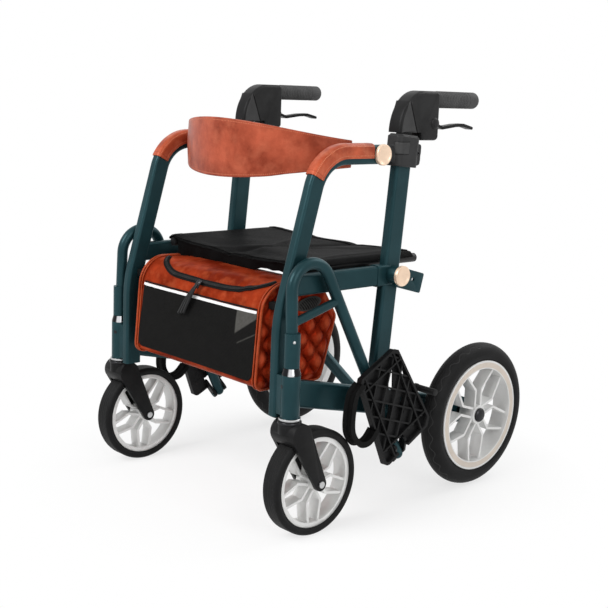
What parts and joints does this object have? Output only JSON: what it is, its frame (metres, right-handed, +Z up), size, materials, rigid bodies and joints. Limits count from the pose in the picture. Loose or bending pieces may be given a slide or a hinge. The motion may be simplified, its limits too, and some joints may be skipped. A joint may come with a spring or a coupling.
{
  "type": "rollator transport chair",
  "caption": "Folding rollator that turns into a transport chair: side frames on a cross brace, swivel casters, large rear wheels, seat, bag and swing-away footrests.",
  "frame": {"origin": "on the floor, under the middle of the whole chair's box", "axes": "+Z up, -Y the way the chair drives as a rollator, +X the left side of the person who pushes it"},
  "size_m": [0.6224, 0.717, 0.8195],
  "materials": {
    "frame_paint": "satin metallic paint",
    "leather": "grained leather with stitching",
    "bag_leather": "cloth backed with thin leather, mesh pocket, piped edges",
    "copper": "pale copper, spun face",
    "steel": "satin",
    "chrome": "polished",
    "black_plastic": "fine moulded grain",
    "black_metal": "black powder coat",
    "webbing": "woven band",
    "seat_cloth": "black padded cloth",
    "grip_rubber": "ribbed matt rubber",
    "rim": "silver-white moulded plastic",
    "tyre": "matt rubber with shallow tread"
  },
  "bodies": {
    "right_frame": {"right_front_tube": "frame_paint", "right_upright": "frame_paint", "right_seat_rail": "frame_paint", "right_lower_rail": "frame_paint", "right_head_tube": "frame_paint", "right_arm_pad": "leather", "right_caps": "copper", "right_rear_bracket": "frame_paint", "right_rear_axle": "steel", "right_collar": "black_plastic", "right_saddles": "black_plastic", "right_head_ring": "chrome", "bag": "bag_leather", "backrest": "leather"},
    "right_caster": {"right_fork": "black_plastic", "right_front_axle": "steel"},
    "right_front_wheel": {"right_front_rim": "rim", "right_front_tyre": "tyre"},
    "right_rear_wheel": {"right_rear_rim": "rim", "right_rear_tyre": "tyre"},
    "right_handle": {"right_handle_post": "black_metal", "right_brake_housing": "black_plastic", "right_housing_shell": "black_plastic", "right_grip": "grip_rubber"},
    "right_lever": {"right_brake_lever": "black_plastic"},
    "right_brake": {"right_brake_arm": "black_metal"},
    "right_footrest": {"right_hanger": "frame_paint"},
    "right_plate": {"right_footplate": "black_plastic", "right_heel_strap": "webbing"},
    "left_frame": {"left_front_tube": "frame_paint", "left_upright": "frame_paint", "left_seat_rail": "frame_paint", "left_lower_rail": "frame_paint", "left_head_tube": "frame_paint", "left_arm_pad": "leather", "left_caps": "copper", "left_rear_bracket": "frame_paint", "left_rear_axle": "steel", "left_collar": "black_plastic", "left_saddles": "black_plastic", "left_head_ring": "chrome"},
    "left_caster": {"left_fork": "black_plastic", "left_front_axle": "steel"},
    "left_front_wheel": {"left_front_rim": "rim", "left_front_tyre": "tyre"},
    "left_rear_wheel": {"left_rear_rim": "rim", "left_rear_tyre": "tyre"},
    "left_handle": {"left_handle_post": "black_metal", "left_brake_housing": "black_plastic", "left_housing_shell": "black_plastic", "left_grip": "grip_rubber"},
    "left_lever": {"left_brake_lever": "black_plastic"},
    "left_brake": {"left_brake_arm": "black_metal"},
    "left_footrest": {"left_hanger": "frame_paint"},
    "left_plate": {"left_footplate": "black_plastic", "left_heel_strap": "webbing"},
    "brace_front": {"brace_a": "frame_paint", "brace_pivot": "steel"},
    "brace_rear": {"brace_b": "frame_paint"},
    "seat_cloth": {"seat": "seat_cloth"}
  },
  "joints": [
    {"name": "fold", "type": "hinge", "parent": "right_frame", "child": "brace_front", "pos_m": [-0.209, -0.094, 0.236], "axis": [0, 1, 0], "range_deg": [-27.5, 0], "deforming": ["seat", "bag", "backrest"]},
    {"name": "brace_cross", "type": "hinge", "parent": "brace_front", "child": "brace_rear", "pos_m": [0, -0.094, 0.36251], "axis": [0, 1, 0], "range_deg": [0, 55]},
    {"name": "left_frame_fold", "type": "hinge", "parent": "brace_rear", "child": "left_frame", "pos_m": [0.209, -0.094, 0.236], "axis": [0, 1, 0], "range_deg": [-27.5, 0]},
    {"name": "seat_lift", "type": "hinge", "parent": "brace_front", "child": "seat_cloth", "pos_m": [0.204, -0.094, 0.486], "axis": [0, 1, 0], "range_deg": [0, 27.5]},
    {"name": "left_caster_swivel", "type": "hinge", "parent": "left_frame", "child": "left_caster", "pos_m": [0.271, -0.314, 0.272], "axis": [0, 0, 1], "continuous": true},
    {"name": "left_front_wheel_spin", "type": "hinge", "parent": "left_caster", "child": "left_front_wheel", "pos_m": [0.271, -0.257, 0.1016], "axis": [1, 0, 0], "continuous": true},
    {"name": "left_rear_wheel_spin", "type": "hinge", "parent": "left_frame", "child": "left_rear_wheel", "pos_m": [0.2795, 0.206, 0.1524], "axis": [1, 0, 0], "continuous": true},
    {"name": "left_handle_height", "type": "slide", "parent": "left_frame", "child": "left_handle", "axis": [0, 0.0854, 0.9963], "range_m": [0, 0.11]},
    {"name": "left_lever_squeeze", "type": "hinge", "parent": "left_handle", "child": "left_lever", "pos_m": [0.231, 0.072, 0.757], "axis": [1, 0, 0], "range_deg": [0, 12], "stiffness_Nm_per_rad": 1.5, "springref_deg": -5.73},
    {"name": "left_brake_pull", "type": "hinge", "parent": "left_frame", "child": "left_brake", "pos_m": [0.248, 0.02499, 0.20456], "axis": [-1, 0, 0], "range_deg": [0, 11.4]},
    {"name": "left_footrest_swing", "type": "hinge", "parent": "left_frame", "child": "left_footrest", "pos_m": [0.271, -0.314, 0.32], "axis": [0, 0, -1], "range_deg": [0, 180]},
    {"name": "left_plate_flip", "type": "hinge", "parent": "left_footrest", "child": "left_plate", "pos_m": [0.28208, -0.03, 0.11128], "axis": [-0.0234, 0.887, 0.4612], "range_deg": [0, 90]},
    {"name": "right_caster_swivel", "type": "hinge", "parent": "right_frame", "child": "right_caster", "pos_m": [-0.271, -0.314, 0.272], "axis": [0, 0, 1], "continuous": true},
    {"name": "right_front_wheel_spin", "type": "hinge", "parent": "right_caster", "child": "right_front_wheel", "pos_m": [-0.271, -0.257, 0.1016], "axis": [1, 0, 0], "continuous": true},
    {"name": "right_rear_wheel_spin", "type": "hinge", "parent": "right_frame", "child": "right_rear_wheel", "pos_m": [-0.2795, 0.206, 0.1524], "axis": [1, 0, 0], "continuous": true},
    {"name": "right_handle_height", "type": "slide", "parent": "right_frame", "child": "right_handle", "axis": [0, 0.0854, 0.9963], "range_m": [0, 0.11]},
    {"name": "right_lever_squeeze", "type": "hinge", "parent": "right_handle", "child": "right_lever", "pos_m": [-0.231, 0.072, 0.757], "axis": [1, 0, 0], "range_deg": [0, 12], "stiffness_Nm_per_rad": 1.5, "springref_deg": -5.73},
    {"name": "right_brake_pull", "type": "hinge", "parent": "right_frame", "child": "right_brake", "pos_m": [-0.248, 0.02499, 0.20456], "axis": [-1, 0, 0], "range_deg": [0, 11.4]},
    {"name": "right_footrest_swing", "type": "hinge", "parent": "right_frame", "child": "right_footrest", "pos_m": [-0.271, -0.314, 0.32], "axis": [0, 0, 1], "range_deg": [0, 180]},
    {"name": "right_plate_flip", "type": "hinge", "parent": "right_footrest", "child": "right_plate", "pos_m": [-0.28208, -0.03, 0.11128], "axis": [-0.0234, -0.887, -0.4612], "range_deg": [0, 90]}
  ],
  "couplings": [
    {"joint": "brace_cross", "follows": "fold", "ratio": -2},
    {"joint": "left_frame_fold", "follows": "fold", "ratio": 1},
    {"joint": "seat_lift", "follows": "fold", "ratio": -1},
    {"joint": "left_brake_pull", "follows": "left_lever_squeeze", "ratio": 0.95},
    {"joint": "right_brake_pull", "follows": "right_lever_squeeze", "ratio": 0.95}
  ]
}
